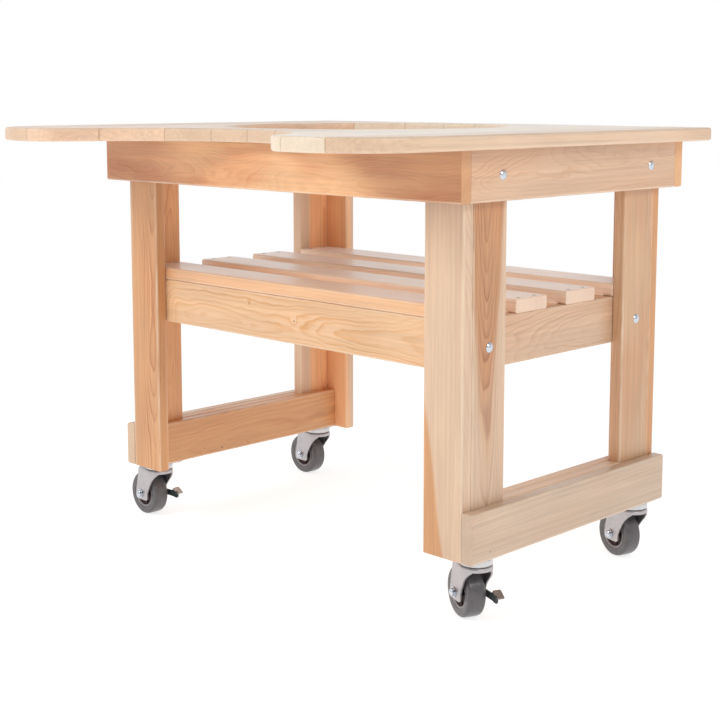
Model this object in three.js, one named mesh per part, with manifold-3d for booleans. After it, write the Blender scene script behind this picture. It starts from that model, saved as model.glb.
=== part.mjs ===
// Rolling timber table for a ceramic grill: a bolted frame of equal boards, a slatted shelf that the
// grill stands on, a board top with a round hole and a bay in its front edge, and four swivel casters.
// Millimetres, +Z up, the floor at z = 0 and the origin under the middle of the top. The long sides
// run along X and the front is at -Y. Inside the table's group y = 0 is the middle of the frame.
import * as THREE from 'three';
import { mergeVertices } from 'three/addons/utils/BufferGeometryUtils.js';
import Module from 'manifold-3d';

const wasm = await Module();
wasm.setup();

// Boards: one dressed section serves the whole frame.
const boardThick = 25;
const boardWide = 89;

// Frame, measured over the aprons.
const frameLong = 975;
const frameDeep = 655;
const legBottom = 122;
const legTall = 704;
const cleatThick = 12.5;
const cleatTall = 38;

// Shelf.
const shelfRailBottom = 442;
const slatCount = 4;

// Top: twelve boards that run from front to back and reach past the frame on every side.
const topCount = 12;
const topThick = 25;
const topJoint = 0.5;
const endOverhang = 46.5;
const frontOverhang = 272.5;
const backOverhang = 37.5;
const hornWide = 177;
const cornerShare = 0.79;
const backCornerRadius = 16;
const bayShoulder = 60;
const bridgeWide = 72;
const holeShare = 0.2954;
const topEase = 5;

// Casters.
const frontCasterFromEnd = 55;
const backCasterFromEnd = 48;
const leftTurnDegrees = -2;
const frontRightTurnDegrees = -24;
const backRightTurnDegrees = -17;
const casterTrail = 37;
const wheelRadius = 46.5;
const wheelSides = 32;
const tyreWide = 35;
const tyreShoulder = 4;
const tyreDepth = 16.5;
const hubBossRadius = 11;
const hubBossWide = 42;
const hubWebWide = 18;
const hubRimWide = 25;
const hubRimDepth = 5;
const hubWebRadius = 24;
const axleRadius = 4;
const nutRadius = 7.5;
const nutThick = 6;
const plateLong = 92;
const plateWide = 60;
const plateThick = 3;
const plateCorner = 6;
const drumRadius = 29;
const drumTall = 12.5;
const drumChamfer = 2.5;
const kingpinRadius = 6;
const kingpinHeadRadius = 9.5;
const kingpinHeadTall = 3;
const crownRadius = 30;
const crownTall = 7.75;
const forkThick = 3;
const forkGap = 43;
const forkBoss = 16.5;
const forkLip = 27.5;
const forkHeel = 9;
const forkFront = 22;
const toeDrop = 12.5;
const toeCorner = 6;
const leverThick = 3;
const leverRing = 9;
const leverArm = 60;
const leverArmTall = 13;
const pedalLong = 20;
const pedalWide = 16;
const pedalRise = 7.5;
const pedalTiltDegrees = 30;

// Running and seating clearances, and the length by which every cutting tool overruns.
const clear = 0.3;
const seat = 0.25;
const overrun = 10;
const curveSteps = 8;
const cornerSteps = 4;
const easeSteps = 2;
const holeSides = 72;
const hexSides = 6;

// Places worked out from the sizes above.
const endX = frameLong / 2;
const frontY = frameDeep / 2;
const legX = endX - boardThick;
const railX = legX - boardThick;
const legY = frontY - boardThick - cleatThick;
const railY = legY - boardThick;
const topUnder = legBottom + legTall;
const topZ = topUnder + topThick;
const apronBottom = topUnder - boardWide;
const slatZ = shelfRailBottom + boardWide;
const slatGap = (2 * railY - slatCount * boardWide) / (slatCount - 1);
const topHalf = endX + endOverhang;
const topBoard = 2 * topHalf / topCount;
const topFront = frontY + frontOverhang;
const topBack = frontY + backOverhang;
const cornerRadius = cornerShare * hornWide;

// The hole's radius is a share of the frame's length. The bay's arc passes in front of the hole, one
// bridge away from it, and is tangent to the rounded shoulders beside it.
const holeX = -topBoard / 2;
const holeRadius = holeShare * frameLong;
const shoulderX = topHalf - hornWide;
const shoulderY = -topFront + bayShoulder;
const bayEdge = -holeRadius - bridgeWide;
const bayDeep = bayEdge - shoulderY;
const bayRadius = (shoulderX ** 2 + bayDeep ** 2 - bayShoulder ** 2) / (2 * (bayShoulder + bayDeep));
const bayY = bayEdge - bayRadius;

// Casters stand under the middle board of each foot beam.
const casterX = legX - boardThick / 2;
const frontCasterY = -legY + frontCasterFromEnd;
const backCasterY = legY - backCasterFromEnd;
const axleZ = wheelRadius * Math.cos(Math.PI / wheelSides);
const crownZ = legBottom - plateThick - drumTall - seat - crownTall;

const wood = {
  top: new THREE.MeshStandardMaterial({ color: 0xe3b98a, roughness: 0.35, metalness: 0 }),
  frame: new THREE.MeshStandardMaterial({ color: 0xd9a271, roughness: 0.45, metalness: 0 }),
  pale: new THREE.MeshStandardMaterial({ color: 0xe2bd95, roughness: 0.45, metalness: 0 }),
};
const zinc = new THREE.MeshStandardMaterial({ color: 0xb9babd, roughness: 0.35, metalness: 0.9 });
const tread = new THREE.MeshStandardMaterial({ color: 0x77767a, roughness: 0.6, metalness: 0 });
const hubPlastic = new THREE.MeshStandardMaterial({ color: 0x4a3a3b, roughness: 0.5, metalness: 0 });
const leverPaint = new THREE.MeshStandardMaterial({ color: 0x3c4644, roughness: 0.5, metalness: 0.4 });

// The top reaches further forwards than back, and the origin lies under its middle.
const table = new THREE.Group();
table.position.y = (topFront - topBack) / 2;

// A closed geometry becomes a solid that can be joined and cut.
function solid(geometry) {
  const bare = geometry.clone();
  bare.deleteAttribute('normal');
  bare.deleteAttribute('uv');
  const merged = mergeVertices(bare);
  return new wasm.Manifold(new wasm.Mesh({
    numProp: 3,
    vertProperties: new Float32Array(merged.attributes.position.array),
    triVerts: new Uint32Array(merged.index.array),
  }));
}

// A solid becomes a geometry again.
function geometryOf(body) {
  const mesh = body.getMesh();
  const geometry = new THREE.BufferGeometry();
  geometry.setAttribute('position', new THREE.BufferAttribute(new Float32Array(mesh.vertProperties), 3));
  geometry.setIndex(new THREE.BufferAttribute(new Uint32Array(mesh.triVerts), 1));
  return geometry;
}

// One named mesh, added to its group.
function piece(name, geometry, material, group = table) {
  const mesh = new THREE.Mesh(geometry, material);
  mesh.name = name;
  group.add(mesh);
  return mesh;
}

// A box given by its two ends along each axis.
function boxBetween(x0, x1, y0, y1, z0, z1) {
  const box = new THREE.BoxGeometry(x1 - x0, y1 - y0, z1 - z0);
  return box.translate((x0 + x1) / 2, (y0 + y1) / 2, (z0 + z1) / 2);
}

// A board is a box mesh whose own centre is its position.
function board(name, material, x0, x1, y0, y1, z0, z1) {
  const mesh = piece(name, new THREE.BoxGeometry(x1 - x0, y1 - y0, z1 - z0), material);
  mesh.position.set((x0 + x1) / 2, (y0 + y1) / 2, (z0 + z1) / 2);
}

// A cylinder along Z between two heights.
function post(radius, z0, z1, sides = wheelSides) {
  const drum = new THREE.CylinderGeometry(radius, radius, z1 - z0, sides);
  return drum.rotateX(Math.PI / 2).translate(0, 0, (z0 + z1) / 2);
}

// A cylinder along the axle between two places across the caster.
function pin(radius, y0, y1, sides = wheelSides) {
  const drum = new THREE.CylinderGeometry(radius, radius, y1 - y0, sides);
  return drum.translate(0, (y0 + y1) / 2, 0);
}

// A profile of radius and height pairs turned around the axle.
function turned(points) {
  const profile = points.map(([radius, across]) => new THREE.Vector2(radius, across));
  return new THREE.LatheGeometry(profile, wheelSides, Math.PI / wheelSides);
}

// Aprons: the long ones cover the ends of the short ones.
function addAprons() {
  for (const [name, side] of [['front', -1], ['back', 1]]) {
    const outer = side * frontY;
    const inner = side * (frontY - boardThick);
    board(`apron_${name}`, wood.frame, -endX, endX,
      Math.min(outer, inner), Math.max(outer, inner), apronBottom, topUnder);
    const cleat = side * legY;
    board(`top_cleat_${name}`, wood.pale, -legX, legX,
      Math.min(inner, cleat), Math.max(inner, cleat), topUnder - cleatTall, topUnder);
  }
  for (const [name, side] of [['left', -1], ['right', 1]]) {
    const outer = side * endX;
    const inner = side * legX;
    board(`apron_${name}`, wood.frame, Math.min(outer, inner), Math.max(outer, inner),
      -frontY + boardThick, frontY - boardThick, apronBottom, topUnder);
  }
}

// Each leg is a corner of two boards: one faces the front or back, the other stands behind it and
// faces the end, where the bolts pass through it.
function addLegs() {
  for (const [end, sx] of [['left', -1], ['right', 1]]) {
    for (const [side, sy] of [['front', -1], ['back', 1]]) {
      const x = [sx * legX, sx * (legX - boardWide)].sort((a, b) => a - b);
      const y = [sy * legY, sy * railY].sort((a, b) => a - b);
      board(`leg_face_${side}_${end}`, wood.pale, ...x, ...y, legBottom, topUnder);
      const bx = [sx * legX, sx * railX].sort((a, b) => a - b);
      const by = [sy * railY, sy * (railY - boardWide)].sort((a, b) => a - b);
      board(`leg_return_${side}_${end}`, wood.frame, ...bx, ...by, legBottom, topUnder);
    }
  }
}

// The foot beams are three boards glued side by side: the outer one covers the legs, the middle one
// fits between the return boards and the inner one between the face boards.
function addFootBeams() {
  for (const [end, sx] of [['left', -1], ['right', 1]]) {
    const plies = [[endX, legX, legY], [legX, railX, railY - boardWide], [railX, railX - boardThick, railY]];
    let beam = null;
    for (const [outer, inner, half] of plies) {
      const x = [sx * outer, sx * inner].sort((a, b) => a - b);
      const ply = solid(boxBetween(...x, -half, half, legBottom, legBottom + boardWide));
      beam = beam ? beam.add(ply) : ply;
    }
    piece(`foot_beam_${end}`, geometryOf(beam), wood.pale);
  }
}

// Shelf rails lie between the legs and the slats lie across them.
function addShelf() {
  for (const [name, side] of [['front', -1], ['back', 1]]) {
    const y = [side * railY, side * (railY - boardThick)].sort((a, b) => a - b);
    board(`shelf_rail_${name}`, wood.frame, -railX, railX, ...y, shelfRailBottom, slatZ);
  }
  for (const [name, side] of [['left', -1], ['right', 1]]) {
    const x = [side * railX, side * (railX - boardThick)].sort((a, b) => a - b);
    board(`shelf_rail_${name}`, wood.pale, ...x,
      -railY + boardThick, railY - boardThick, shelfRailBottom, slatZ);
  }
  for (let i = 0; i < slatCount; i += 1) {
    const y = -railY + i * (boardWide + slatGap);
    board(`shelf_slat_${i + 1}`, wood.pale, -railX, railX, y, y + boardWide, slatZ, slatZ + boardThick);
  }
}

// Outline of the top: straight back and ends, large front corners and a round bay in the front edge
// with rounded shoulders.
function topOutline() {
  const lean = Math.atan2(shoulderY - bayY, shoulderX);
  const outline = new THREE.Shape();
  outline.moveTo(-topHalf, topBack - backCornerRadius);
  outline.absarc(-topHalf + cornerRadius, -topFront + cornerRadius, cornerRadius,
    Math.PI, 1.5 * Math.PI, false);
  outline.absarc(-shoulderX, shoulderY, bayShoulder, 1.5 * Math.PI, 2 * Math.PI - lean, false);
  outline.absarc(0, bayY, bayRadius, Math.PI - lean, lean, true);
  outline.absarc(shoulderX, shoulderY, bayShoulder, Math.PI + lean, 1.5 * Math.PI, false);
  outline.absarc(topHalf - cornerRadius, -topFront + cornerRadius, cornerRadius,
    -0.5 * Math.PI, 0, false);
  outline.absarc(topHalf - backCornerRadius, topBack - backCornerRadius, backCornerRadius,
    0, 0.5 * Math.PI, false);
  outline.absarc(-topHalf + backCornerRadius, topBack - backCornerRadius, backCornerRadius,
    0.5 * Math.PI, Math.PI, false);
  return outline;
}

// The whole slab, with eased edges, before it is divided into boards.
function topSlab() {
  const settings = {
    depth: topThick - 2 * topEase,
    curveSegments: curveSteps,
    bevelEnabled: true,
    bevelThickness: topEase,
    bevelSize: topEase,
    bevelOffset: -topEase,
    bevelSegments: easeSteps,
  };
  const slab = new THREE.ExtrudeGeometry(topOutline(), settings).translate(0, 0, topUnder + topEase);
  const hole = post(holeRadius, topUnder - overrun, topZ + overrun, holeSides);
  return solid(slab).subtract(solid(hole.translate(holeX, 0, 0)));
}

// Boards of the top. The hole divides those that lie wholly across it, and their short front ends are
// glued up as one bridge between the hole and the bay.
function addTop() {
  const slab = topSlab();
  const strip = (first, last, y0, y1) => {
    const x0 = -topHalf + first * topBoard + topJoint / 2;
    const x1 = -topHalf + (last + 1) * topBoard - topJoint / 2;
    const box = boxBetween(x0, x1, y0, y1, topUnder - overrun, topZ + overrun);
    return geometryOf(slab.intersect(solid(box)));
  };
  const dividedBoards = [];
  for (let i = 0; i < topCount; i += 1) {
    const middle = -topHalf + (i + 0.5) * topBoard;
    const divided = Math.abs(middle - holeX) < holeRadius - topBoard / 2;
    const from = divided ? 0 : -topFront - overrun;
    piece(`top_board_${String(i + 1).padStart(2, '0')}`, strip(i, i, from, topBack + overrun), wood.top);
    if (divided) {
      dividedBoards.push(i);
    }
  }
  piece('top_bridge', strip(dividedBoards[0], dividedBoards.at(-1), -topFront - overrun, 0), wood.top);
}

// Fixed half of a caster: the bolted plate, the raceway drum under it and the kingpin.
function plateSolid() {
  const halfX = plateWide / 2;
  const halfY = plateLong / 2;
  const outline = new THREE.Shape();
  outline.absarc(halfX - plateCorner, halfY - plateCorner, plateCorner, 0, 0.5 * Math.PI, false);
  outline.absarc(-halfX + plateCorner, halfY - plateCorner, plateCorner, 0.5 * Math.PI, Math.PI, false);
  outline.absarc(-halfX + plateCorner, -halfY + plateCorner, plateCorner, Math.PI, 1.5 * Math.PI, false);
  outline.absarc(halfX - plateCorner, -halfY + plateCorner, plateCorner, 1.5 * Math.PI, 2 * Math.PI, false);
  const settings = { depth: plateThick, bevelEnabled: false, curveSegments: cornerSteps };
  const flat = new THREE.ExtrudeGeometry(outline, settings);
  const drumTop = legBottom - plateThick;
  const drumBottom = drumTop - drumTall;
  const headTop = crownZ + crownTall - forkThick - seat;
  const pinBottom = headTop - kingpinHeadTall;
  const profile = [
    [0, pinBottom], [kingpinHeadRadius, pinBottom], [kingpinHeadRadius, headTop],
    [kingpinRadius, headTop], [kingpinRadius, drumBottom], [drumRadius - drumChamfer, drumBottom],
    [drumRadius, drumBottom + drumChamfer], [drumRadius, drumTop + plateThick / 2], [0, drumTop + plateThick / 2],
  ].map(([radius, z]) => new THREE.Vector2(radius, z));
  const drum = new THREE.LatheGeometry(profile, wheelSides).rotateX(Math.PI / 2);
  return solid(flat.translate(0, 0, drumTop)).add(solid(drum));
}

// Fork: a crown that is round in front, and two side plates that narrow to a flat toe under the axle.
function forkSolid() {
  const back = -casterTrail - forkBoss;
  const front = -casterTrail + forkLip;
  const toe = axleZ - toeDrop;
  const across = forkGap / 2 + forkThick;
  const outline = new THREE.Shape();
  outline.moveTo(forkFront, crownZ + crownTall);
  outline.lineTo(forkFront, crownZ);
  outline.lineTo(front, axleZ);
  outline.lineTo(front, toe + toeCorner);
  outline.quadraticCurveTo(front, toe, front - toeCorner, toe);
  outline.lineTo(back + toeCorner, toe);
  outline.quadraticCurveTo(back, toe, back, toe + toeCorner);
  outline.lineTo(back, axleZ);
  outline.lineTo(back + forkHeel, crownZ);
  outline.lineTo(back + forkHeel, crownZ + crownTall);
  const cheek = new THREE.ExtrudeGeometry(outline, {
    depth: forkThick, bevelEnabled: false, curveSegments: curveSteps,
  }).rotateX(Math.PI / 2);
  let fork = solid(post(crownRadius, crownZ, crownZ + crownTall));
  fork = fork.add(solid(boxBetween(back + forkHeel, 0, -across, across, crownZ, crownZ + crownTall)));
  fork = fork.add(solid(cheek.clone().translate(0, -forkGap / 2, 0)));
  fork = fork.add(solid(cheek.clone().translate(0, across, 0)));
  fork = fork.subtract(solid(post(kingpinRadius + clear, crownZ - overrun, crownZ + crownTall + overrun)));
  const hollow = boxBetween(back - overrun, crownRadius + overrun, -forkGap / 2, forkGap / 2,
    crownZ - overrun, crownZ + crownTall - forkThick);
  const bore = pin(axleRadius + clear, -forkGap, forkGap).translate(-casterTrail, 0, axleZ);
  return fork.subtract(solid(bore)).subtract(solid(hollow));
}

// Tyre: a ring with rounded shoulders, and the hub that it is moulded on.
function tyreGeometry() {
  const inner = wheelRadius - tyreDepth;
  const half = tyreWide / 2;
  return turned([
    [inner, -half], [wheelRadius - tyreShoulder, -half], [wheelRadius, -half + tyreShoulder],
    [wheelRadius, half - tyreShoulder], [wheelRadius - tyreShoulder, half], [inner, half], [inner, -half],
  ]);
}

function hubGeometry() {
  const outer = wheelRadius - tyreDepth - seat;
  const bore = axleRadius + clear;
  return turned([
    [bore, -hubBossWide / 2], [hubBossRadius, -hubBossWide / 2], [hubBossRadius, -hubWebWide / 2],
    [hubWebRadius, -hubWebWide / 2], [outer - hubRimDepth, -hubRimWide / 2], [outer, -hubRimWide / 2],
    [outer, hubRimWide / 2], [outer - hubRimDepth, hubRimWide / 2], [hubWebRadius, hubWebWide / 2],
    [hubBossRadius, hubWebWide / 2], [hubBossRadius, hubBossWide / 2], [bore, hubBossWide / 2],
    [bore, -hubBossWide / 2],
  ]);
}

// Axle bolt with its six-sided head and nut as one piece; a brake lever needs a longer one.
function axleSolid(extra) {
  const near = -forkGap / 2 - forkThick - seat;
  const far = forkGap / 2 + forkThick + seat + extra;
  return solid(pin(axleRadius, near - nutThick / 2, far + nutThick / 2))
    .add(solid(pin(nutRadius, near - nutThick, near, hexSides)))
    .add(solid(pin(nutRadius, far, far + nutThick, hexSides)));
}

// Brake lever: a ring on the axle outside the fork, an arm forwards and a sloping pedal.
function leverSolid() {
  const y0 = forkGap / 2 + forkThick + seat;
  const ring = solid(pin(leverRing, y0, y0 + leverThick));
  const arm = solid(boxBetween(0, leverArm, y0, y0 + leverThick, -leverArmTall / 2, leverArmTall / 2));
  const pedal = new THREE.BoxGeometry(pedalLong, pedalWide, leverThick)
    .rotateY(THREE.MathUtils.degToRad(pedalTiltDegrees))
    .translate(leverArm, y0 + pedalWide / 2, pedalRise);
  const bore = solid(pin(axleRadius + clear, y0 - overrun, y0 + leverThick + overrun));
  return ring.add(arm).add(solid(pedal)).subtract(bore);
}

// One caster. Its swivelling pieces share a group that is turned about the kingpin.
function addCaster(name, x, y, turnDegrees, braked) {
  const plate = piece(`caster_plate_${name}`, geometryOf(plateSolid()), zinc);
  plate.position.set(x, y, 0);
  const swivel = new THREE.Group();
  swivel.position.set(x, y, 0);
  swivel.rotation.z = THREE.MathUtils.degToRad(turnDegrees);
  table.add(swivel);
  piece(`caster_fork_${name}`, geometryOf(forkSolid()), zinc, swivel);
  const extra = braked ? leverThick + seat : 0;
  const onAxle = [
    piece(`caster_tyre_${name}`, tyreGeometry(), tread, swivel),
    piece(`caster_hub_${name}`, hubGeometry(), hubPlastic, swivel),
    piece(`caster_axle_${name}`, geometryOf(axleSolid(extra)), zinc, swivel),
  ];
  if (braked) {
    onAxle.push(piece(`brake_lever_${name}`, geometryOf(leverSolid()), leverPaint, swivel));
  }
  for (const mesh of onAxle) {
    mesh.position.set(-casterTrail, 0, axleZ);
  }
}

addAprons();
addLegs();
addFootBeams();
addShelf();
addTop();
addCaster('front_left', -casterX, frontCasterY, leftTurnDegrees, true);
addCaster('front_right', casterX, frontCasterY, frontRightTurnDegrees, true);
addCaster('back_left', -casterX, backCasterY, leftTurnDegrees, false);
addCaster('back_right', casterX, backCasterY, backRightTurnDegrees, false);

export default table;
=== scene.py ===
"""Looks of the rolling timber grill table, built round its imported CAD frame.

Its shapes are written in millimetres, and its timber, studio and camera in metres.
"""
import math
import random

import bpy
import bmesh
from mathutils import Matrix, Vector


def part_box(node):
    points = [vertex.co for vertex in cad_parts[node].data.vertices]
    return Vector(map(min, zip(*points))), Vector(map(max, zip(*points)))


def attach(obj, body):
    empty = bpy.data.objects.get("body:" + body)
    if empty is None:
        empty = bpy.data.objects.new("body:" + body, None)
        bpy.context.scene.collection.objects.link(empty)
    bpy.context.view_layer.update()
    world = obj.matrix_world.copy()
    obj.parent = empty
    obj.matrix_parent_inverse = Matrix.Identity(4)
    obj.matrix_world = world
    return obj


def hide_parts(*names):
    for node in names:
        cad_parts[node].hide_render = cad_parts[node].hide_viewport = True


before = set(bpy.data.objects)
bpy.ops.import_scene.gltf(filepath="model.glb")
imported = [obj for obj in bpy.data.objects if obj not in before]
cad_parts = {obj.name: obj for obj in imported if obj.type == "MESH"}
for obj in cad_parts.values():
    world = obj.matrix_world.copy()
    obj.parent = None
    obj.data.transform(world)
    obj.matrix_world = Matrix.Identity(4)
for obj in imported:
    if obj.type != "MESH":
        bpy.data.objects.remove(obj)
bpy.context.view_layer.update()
MM = 0.001

# Repeated from the part's source. The frame's middle lies FRAME_BACK behind the origin, and places on the
# frame and the top are measured from there.
FRAME_BACK = 117.5
TOP_HALF = 534.0
TOP_FRONT = 600.0
TOP_BACK = 365.0
TOP_BOARD = 89.0
TOP_COUNT = 12
TOP_UNDER = 826.0
TOP_THICK = 25.0
TOP_EASE = 5.0
JOINT_HALF = 0.25
CORNER_RADIUS = 139.83
BACK_CORNER = 16.0
SHOULDER_RADIUS = 60.0
SHOULDER_X = 357.0
SHOULDER_Y = -540.0
HOLE_X = -44.5
HOLE_RADIUS = 288.015
BAY_EDGE = -360.015
BAY_RADIUS = 325.53
BAY_Y = BAY_EDGE - BAY_RADIUS

# Rounded edges that only the looks have.
JOINT_EASE = 1.3
BOARD_EASE = 4.2
CLEAT_EASE = 1.5
END_EASE = 0.9

# Casters: heights over the floor, and places forwards and sideways of the kingpin.
TRAIL = 37.0
WHEEL_RADIUS = 46.5
TYRE_SIDES = 32
AXLE_Z = WHEEL_RADIUS * math.cos(math.pi / TYRE_SIDES)
LEG_BOTTOM = 122.0
DRUM_BOTTOM = 106.5
CROWN_TOP = 106.25
CROWN_BOTTOM = 98.5
CROWN_RADIUS = 30.0
CHEEK_OUT = 24.5
CHEEK_BACK = -53.5
CHEEK_LIP = -12.5
TOE_DROP = 12.5
CROWN_BACK = -44.5


# Nodes and materials
class Tree:
    """Short calls for adding shader nodes to one tree."""

    def __init__(self, tree):
        self.tree = tree

    def node(self, kind, **values):
        made = self.tree.nodes.new("ShaderNode" + kind)
        for key, value in values.items():
            setattr(made, key, value)
        return made

    def feed(self, socket, value):
        if isinstance(value, bpy.types.NodeSocket):
            self.tree.links.new(value, socket)
        elif value is not None:
            socket.default_value = value

    def fed(self, made, *values):
        """The first output of a node, with values for its inputs in their order."""
        for socket, value in zip(made.inputs, values):
            self.feed(socket, value)
        return made.outputs[0]

    def math(self, operation, a, b=None, c=None, clamp=False):
        return self.fed(self.node("Math", operation=operation, use_clamp=clamp), a, b, c)

    def vector(self, operation, a, b=None):
        made = self.node("VectorMath", operation=operation)
        self.feed(made.inputs[0], a)
        if b is not None:
            self.feed(made.inputs[3] if operation == "SCALE" else made.inputs[1], b)
        return made.outputs["Value"] if operation in ("LENGTH", "DOT_PRODUCT") else made.outputs[0]

    def noise(self, at, scale, detail, rough=0.5, line=False):
        """Noise at a point in space or, with line, at a place on a line."""
        made = self.node("TexNoise", noise_dimensions="1D" if line else "3D")
        self.feed(made.inputs["W" if line else "Vector"], at)
        for label, value in (("Scale", scale), ("Detail", detail), ("Roughness", rough)):
            made.inputs[label].default_value = value
        return made.outputs["Fac"]

    def spread(self, value, low, high, to_low=0.0, to_high=1.0, smooth=True):
        made = self.node("MapRange", interpolation_type="SMOOTHSTEP" if smooth else "LINEAR")
        return self.fed(made, value, low, high, to_low, to_high)

    def mix(self, factor, a, b, blend="MIX"):
        made = self.node("Mix", data_type="RGBA", blend_type=blend)
        self.feed(made.inputs[0], factor)
        self.feed(made.inputs[6], a)
        self.feed(made.inputs[7], b)
        return made.outputs[2]

    def split(self, vector):
        made = self.node("SeparateXYZ")
        self.feed(made.inputs[0], vector)
        return made.outputs[0], made.outputs[1], made.outputs[2]

    def join(self, x, y, z):
        return self.fed(self.node("CombineXYZ"), x, y, z)

    def tinted(self, colour, tint):
        """The colour multiplied by a tint."""
        return self.mix(1.0, colour, tint + (1,), "MULTIPLY")

    def bump(self, height, strength, distance):
        made = self.node("Bump")
        made.inputs["Strength"].default_value = strength
        made.inputs["Distance"].default_value = distance
        self.feed(made.inputs["Height"], height)
        return made.outputs[0]


def new_material(name):
    """A material with its node tree and the inputs of its shader."""
    material = bpy.data.materials.new(name)
    material.use_nodes = True
    return material, Tree(material.node_tree), material.node_tree.nodes["Principled BSDF"].inputs


KNOTS = ("Knot A", "Knot B", "Knot C")
KNOT_BROWN = (0.10, 0.045, 0.022, 1)
# Pale colour of the painted highlight along eased edges.
HIGHLIGHT_PALE = (0.92, 0.76, 0.58, 1)
BLUSH_TINT = (0.84, 0.66, 0.56)
# Multiplied in as painted shade towards a board's ends.
END_SHADE_TINT = (0.63, 0.51, 0.49)
CUT_TINT = (0.86, 0.86, 0.86)
GLUE_TINT = (0.64, 0.49, 0.37)
GLUE_FROM, GLUE_TO = 0.0434, 0.0440
# Noise in the wood: waves in a metre along and across the board, detail and roughness.
PATTERNS = {
    "drift": (2.2, 9.0, 1.5, 0.45),
    "wave": (11.0, 30.0, 2.0, 0.5),
    "fading": (2.6, 20.0, 1.5, 0.5),
    "cloud": (3.4, 11.0, 2.5, 0.55),
    "fibre": (24.0, 1100.0, 2.0, 0.6),
    "streak": (3.0, 170.0, 2.0, 0.55),
    "patch": (5.0, 16.0, 1.0, 0.5),
    # The next pattern breaks up the painted edge highlight.
    "highlight_breakup": (14.0, 60.0, 2.0, 0.5),
}


def wood_group():
    """Timber cut from a log: rings round a pith, with sapwood outside heartwood, fibres and end grain.

    It reads two attributes of the mesh: grain, a point's place along, across and through its board in
    metres, and a weight for the painted highlight, a pale line along eased edges where they catch light.
    """
    kinds = {
        "Float": ("Pith Y", "Pith Z", "Tilt Y", "Tilt Z", "Pitch", "Sharp", "Figure", "Seed", "Sap",
                  "Sap Tilt", "Contrast", "Blush", "Shade Ends", "End Shade", "Rough"),
        "Color": ("Early", "Late", "Sapwood"),
        "Vector": ("Seam", "Axis") + KNOTS,
    }
    group = bpy.data.node_groups.new("solid_wood", "ShaderNodeTree")
    for kind, labels in kinds.items():
        for label in labels:
            group.interface.new_socket(label, in_out="INPUT", socket_type="NodeSocket" + kind)
    for label, kind in (("Color", "Color"), ("Roughness", "Float"), ("Height", "Float")):
        group.interface.new_socket(label, in_out="OUTPUT", socket_type="NodeSocket" + kind)
    t = Tree(group)
    given = group.nodes.new("NodeGroupInput").outputs
    result = group.nodes.new("NodeGroupOutput").inputs
    x, y, z = t.split(t.node("Attribute", attribute_name="grain").outputs["Vector"])
    shift = t.math("MULTIPLY", given["Seed"], 3.7)

    def pattern(name):
        along, across, detail, rough = PATTERNS[name]
        first = t.math("MULTIPLY_ADD", x, along, shift)
        at = t.join(first, t.math("MULTIPLY", y, across), t.math("MULTIPLY", z, across))
        return t.noise(at, 1.0, detail, rough)

    # Slow wander of the rings along and across the board.
    slow = t.math("SUBTRACT", pattern("drift"), 0.5)
    wave = t.math("SUBTRACT", pattern("wave"), 0.5)
    from_pith = []
    for place, way in ((y, "Y"), (z, "Z")):
        centred = t.math("SUBTRACT", place, given["Pith " + way])
        from_pith.append(t.math("SUBTRACT", centred, t.math("MULTIPLY", given["Tilt " + way], x)))
    radius = t.vector("LENGTH", t.join(0.0, *from_pith))
    drift = t.math("ADD", t.math("MULTIPLY", slow, 0.050), t.math("MULTIPLY", wave, 0.006))
    radius = t.math("MULTIPLY_ADD", drift, given["Figure"], radius)
    # Knots push the rings aside and have a dark core.
    core = 0.0
    for label in KNOTS:
        knot_x, knot_y, size = t.split(given[label])
        away = t.join(t.math("SUBTRACT", x, knot_x), t.math("SUBTRACT", y, knot_y), 0.0)
        far = t.vector("LENGTH", away)
        near = t.math("DIVIDE", far, t.math("MAXIMUM", size, 0.0001))
        radius = t.math("MULTIPLY_ADD", t.spread(near, 0.0, 9.0, 2.2, 0.0), size, radius)
        spot = t.spread(near, 0.75, 1.15, 1.0, 0.0)
        core = t.math("MAXIMUM", core, spot)
    rings = t.math("DIVIDE", radius, given["Pitch"])
    uneven = t.noise(t.math("ADD", rings, shift), 0.33, 1.0, line=True)
    rings = t.math("MULTIPLY_ADD", uneven, 1.6, rings)
    part = t.math("FRACT", rings)
    rise = t.math("POWER", part, given["Sharp"])
    late = t.math("MULTIPLY", rise, t.spread(part, 0.88, 1.0, 1.0, 0.0, smooth=False))
    white = t.node("TexWhiteNoise", noise_dimensions="1D")
    t.feed(white.inputs["W"], t.math("FLOOR", rings))
    late = t.math("MULTIPLY", late, t.math("MULTIPLY_ADD", white.outputs["Value"], 0.7, 0.75))
    late = t.math("MULTIPLY", late, t.spread(pattern("fading"), 0.36, 0.62, 0.45, 1.2))
    late = t.math("MULTIPLY", late, given["Contrast"], clamp=True)
    heart = t.mix(late, given["Early"], given["Late"])
    sap = t.mix(late, given["Sapwood"], t.mix(0.38, given["Sapwood"], given["Late"]))
    edge = t.math("SUBTRACT", radius, t.math("MULTIPLY_ADD", given["Sap Tilt"], x, given["Sap"]))
    colour = t.mix(t.spread(edge, -0.004, 0.004), heart, sap)
    # Reddish clouds, and painted shade towards the two ends where asked for, standing in for an overhang's
    # shadow.
    cloud = t.spread(pattern("cloud"), 0.42, 0.68)
    colour = t.mix(t.math("MULTIPLY", cloud, given["Blush"]), colour, t.tinted(colour, BLUSH_TINT))
    reach = t.math("MULTIPLY_ADD", t.math("SUBTRACT", cloud, 0.4), 0.10, t.math("ABSOLUTE", x))
    shade_ends = t.spread(t.math("SUBTRACT", reach, given["Shade Ends"]), 0.0, 0.17)
    colour = t.mix(t.math("MULTIPLY", shade_ends, given["End Shade"]), colour, t.tinted(colour, END_SHADE_TINT))
    # Fibres, streaks and patches.
    fibre, patch = pattern("fibre"), pattern("patch")
    shade = t.spread(fibre, 0.25, 0.75, 0.945, 1.035)
    shade = t.math("ADD", shade, t.spread(pattern("streak"), 0.2, 0.8, -0.09, 0.08))
    shade = t.math("ADD", shade, t.spread(patch, 0.25, 0.75, -0.055, 0.05))
    colour = t.vector("SCALE", colour, shade)
    colour = t.mix(t.math("MULTIPLY", core, 0.85), colour, KNOT_BROWN)
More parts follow.
